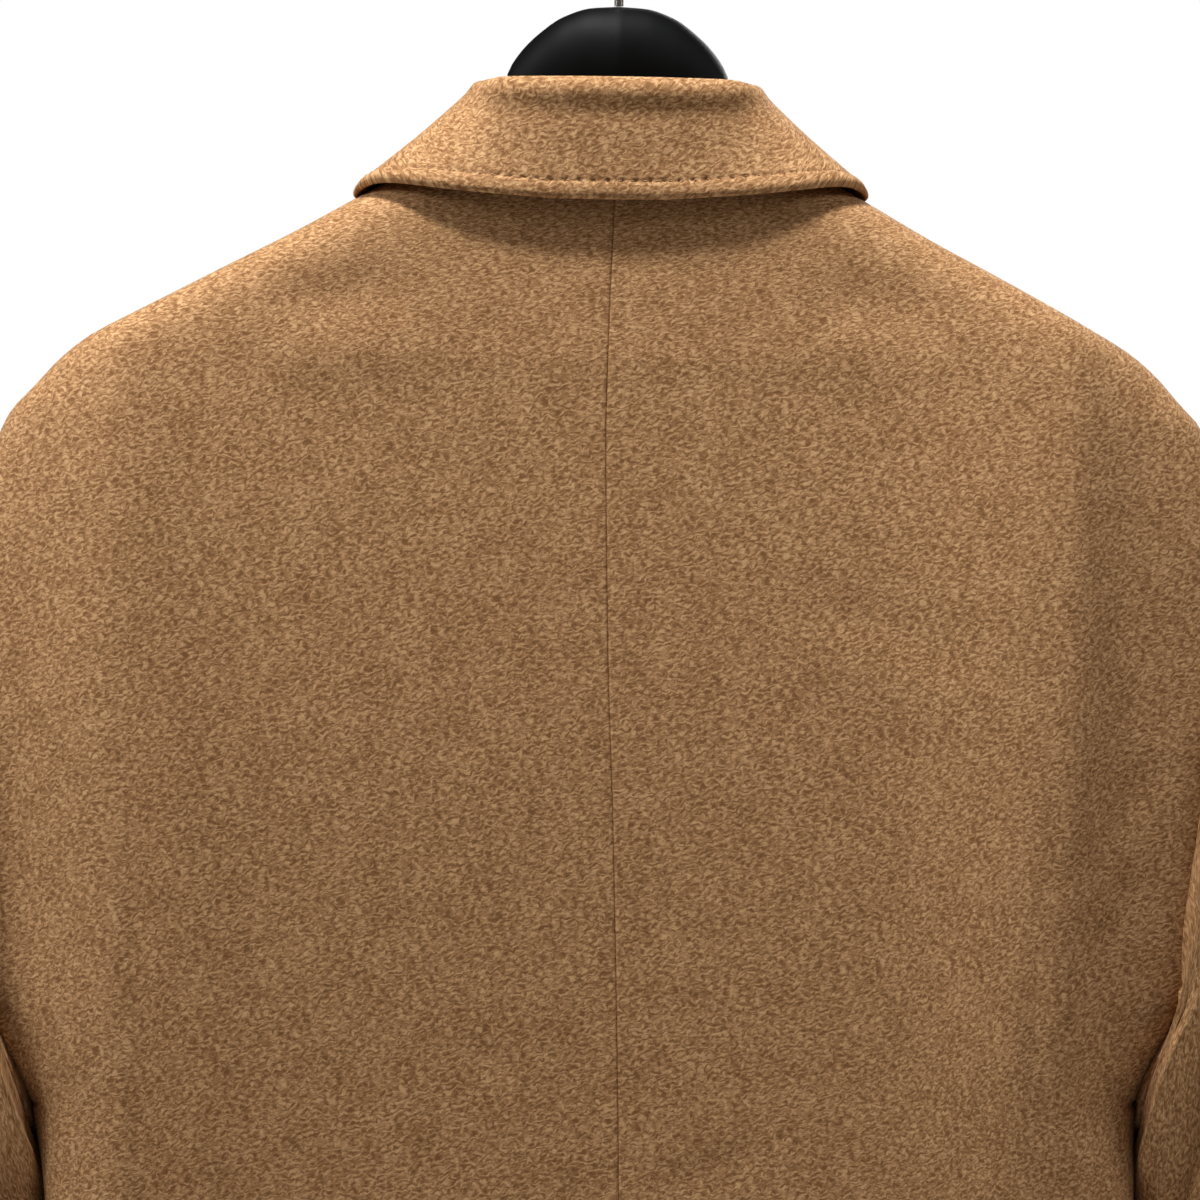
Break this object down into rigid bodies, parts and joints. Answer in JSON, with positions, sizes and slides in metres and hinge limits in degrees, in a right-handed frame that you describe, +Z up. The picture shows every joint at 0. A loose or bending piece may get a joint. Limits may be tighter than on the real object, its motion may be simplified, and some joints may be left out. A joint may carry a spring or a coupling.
{
  "type": "double-breasted coat on hanger",
  "caption": "Camel wool double-breasted chesterfield coat, buttoned, with turned-down collar and peaked lapels, hanging open-hemmed on a contoured hanger with a wire hook.",
  "frame": {"origin": "inner top of the hanger's hook, where it sits on a rail", "axes": "+Z up, +X to the wearer's left, -Y out of the buttoned fronts, +Y out of the back"},
  "size_m": [0.6825, 0.2, 1.1642],
  "materials": {
    "camel_wool": "napped wool overcoating",
    "horn_button": "turned horn, semi-gloss",
    "hanger_plastic": "moulded, satin",
    "hook_steel": "plated round wire"
  },
  "bodies": {
    "root": {"back_left": "camel_wool", "back_right": "camel_wool", "front_left": "camel_wool", "front_right": "camel_wool", "lapel_left": "camel_wool", "lapel_right": "camel_wool", "collar": "camel_wool", "sleeve_upper_left": "camel_wool", "sleeve_upper_right": "camel_wool", "sleeve_under_left": "camel_wool", "sleeve_under_right": "camel_wool", "button_1": "horn_button", "button_2": "horn_button", "button_3": "horn_button", "button_4": "horn_button", "button_5": "horn_button", "button_6": "horn_button", "hanger_body": "hanger_plastic", "hanger_hook": "hook_steel"}
  },
  "joints": []
}
